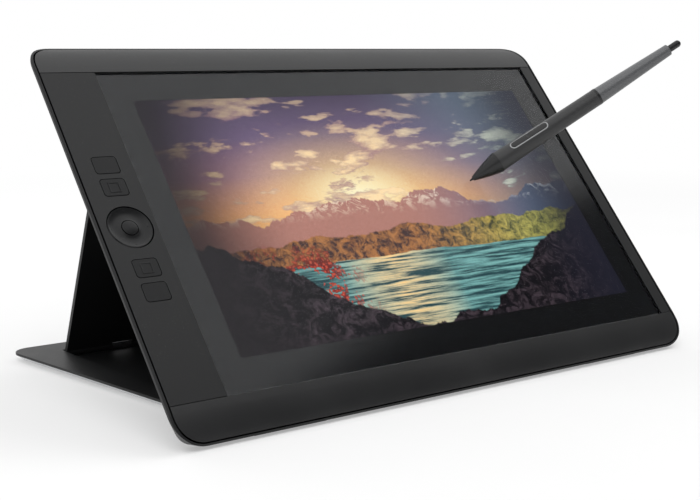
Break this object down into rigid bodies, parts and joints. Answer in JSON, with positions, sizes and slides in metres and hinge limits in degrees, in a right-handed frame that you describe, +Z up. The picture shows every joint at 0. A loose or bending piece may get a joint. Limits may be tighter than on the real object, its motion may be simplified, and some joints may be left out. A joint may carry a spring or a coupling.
{
  "type": "graphics tablet with screen",
  "caption": "Pen display leaning on a folding stand with a hooked support, control strip of keys and a rocker ring, and a cordless pen with its tip on the glass.",
  "frame": {"origin": "middle of the stand's footprint on the desk, on the underside of its rubber pads", "axes": "+Z up, +Y to the back of the stand, +X to the right of someone who uses the tablet"},
  "size_m": [0.3843, 0.2411, 0.1952],
  "materials": {
    "body_plastic": "fine matt grain",
    "face_plastic": "fine matt grain",
    "key_plastic": "satin",
    "ring_plastic": "satin",
    "cover_glass": "polished, anti-glare etched",
    "screen": "lit picture",
    "white_film": "satin",
    "board_green": "solder mask",
    "plate_metal": "pressed sheet",
    "frame_metal": "die cast",
    "socket_metal": "plated",
    "pin_steel": "ground",
    "foot_rubber": "matt",
    "stand_plastic": "fine matt grain",
    "base_metal": "satin, bright edge",
    "grip_rubber": "soft-touch",
    "pen_plastic": "satin",
    "pen_trim": "satin",
    "nib_plastic": "satin",
    "coil_copper": "enamelled wire",
    "eraser_plastic": "satin"
  },
  "bodies": {
    "stand": {"base_tray": "stand_plastic", "base_skin": "base_metal", "base_pads": "foot_rubber", "hinge_bracket_left": "pin_steel", "hinge_bracket_right": "pin_steel", "hinge_pin_left": "pin_steel", "hinge_pin_right": "pin_steel"},
    "support": {"support_flap": "stand_plastic", "hook_rod_left": "pin_steel", "hook_rod_right": "pin_steel"},
    "display": {"rear_cover": "body_plastic", "upper_band": "face_plastic", "lower_band": "face_plastic", "control_strip": "face_plastic", "right_strip": "face_plastic", "cover_glass": "cover_glass", "lcd_panel": "screen", "backlight": "white_film", "digitizer_board": "board_green", "shield_plate": "plate_metal", "mid_frame": "frame_metal", "main_board": "board_green", "key_board": "board_green", "cable_socket": "socket_metal", "foot_left": "foot_rubber", "foot_right": "foot_rubber", "back_feet": "foot_rubber", "case_screws": "pin_steel", "hook_left": "frame_metal", "hook_right": "frame_metal"},
    "key_1": {"key_1": "key_plastic"},
    "key_2": {"key_2": "key_plastic"},
    "key_3": {"key_3": "key_plastic"},
    "key_4": {"key_4": "key_plastic"},
    "carrier": {"rocker_carrier": "body_plastic"},
    "ring": {"rocker_ring": "ring_plastic"},
    "home": {"home_button": "key_plastic"},
    "power": {"power_button": "key_plastic"},
    "pen": {"pen_nose": "pen_plastic", "pen_coil": "coil_copper", "pen_core": "board_green", "pen_grip": "grip_rubber", "switch_frame": "pen_trim", "pen_band": "pen_trim", "pen_barrel": "pen_plastic"},
    "nib": {"pen_nib": "nib_plastic"},
    "side_switch": {"pen_switch": "pen_plastic"},
    "eraser": {"pen_eraser": "eraser_plastic"}
  },
  "joints": [
    {"name": "support_hinge", "type": "hinge", "parent": "stand", "child": "support", "pos_m": [0, 0.08458, 0.0042], "axis": [1, 0, 0], "range_deg": [0, 66]},
    {"name": "hook_hinge", "type": "hinge", "parent": "support", "child": "display", "pos_m": [0, 0.01861, 0.1636], "axis": [1, 0, 0], "range_deg": [-113.19, 0.2]},
    {"name": "key_1_press", "type": "slide", "parent": "display", "child": "key_1", "axis": [0, 0.766, -0.6428], "range_m": [0, 0.0004], "stiffness_N_per_m": 900, "springref_m": -0.0002},
    {"name": "key_2_press", "type": "slide", "parent": "display", "child": "key_2", "axis": [0, 0.766, -0.6428], "range_m": [0, 0.0004], "stiffness_N_per_m": 900, "springref_m": -0.0002},
    {"name": "key_3_press", "type": "slide", "parent": "display", "child": "key_3", "axis": [0, 0.766, -0.6428], "range_m": [0, 0.0004], "stiffness_N_per_m": 900, "springref_m": -0.0002},
    {"name": "key_4_press", "type": "slide", "parent": "display", "child": "key_4", "axis": [0, 0.766, -0.6428], "range_m": [0, 0.0004], "stiffness_N_per_m": 900, "springref_m": -0.0002},
    {"name": "ring_tilt_up_down", "type": "hinge", "parent": "display", "child": "carrier", "pos_m": [-0.1685, -0.05528, 0.09794], "axis": [1, 0, 0], "range_deg": [-2.5, 2.5], "stiffness_Nm_per_rad": 0.6},
    {"name": "ring_tilt_sideways", "type": "hinge", "parent": "carrier", "child": "ring", "pos_m": [-0.1685, -0.05528, 0.09794], "axis": [0, 0.6428, 0.766], "range_deg": [-2.5, 2.5], "stiffness_Nm_per_rad": 0.6},
    {"name": "home_press", "type": "slide", "parent": "display", "child": "home", "axis": [0, 0.766, -0.6428], "range_m": [0, 0.0004], "stiffness_N_per_m": 900, "springref_m": -0.0002},
    {"name": "power_press", "type": "slide", "parent": "display", "child": "power", "axis": [-1, 0, 0], "range_m": [0, 0.0004], "stiffness_N_per_m": 900, "springref_m": -0.0002},
    {"name": "pen_lift", "type": "slide", "parent": "display", "child": "pen", "axis": [0.7498, -0.3962, 0.5299], "range_m": [0, 0.12]},
    {"name": "nib_press", "type": "slide", "parent": "pen", "child": "nib", "axis": [0.7498, -0.3962, 0.5299], "range_m": [0, 0.0008], "stiffness_N_per_m": 400, "springref_m": -0.0002},
    {"name": "side_switch_rock", "type": "hinge", "parent": "pen", "child": "side_switch", "pos_m": [0.10643, -0.07115, 0.13565], "axis": [-0.0418, -0.8276, -0.5598], "range_deg": [-1.4, 1.4], "stiffness_Nm_per_rad": 0.5},
    {"name": "eraser_press", "type": "slide", "parent": "pen", "child": "eraser", "axis": [-0.7498, 0.3962, -0.5299], "range_m": [0, 0.0006], "stiffness_N_per_m": 400, "springref_m": -0.0002}
  ],
  "couplings": [
    {"joint": "hook_hinge", "follows": "support_hinge", "ratio": -1.712}
  ]
}
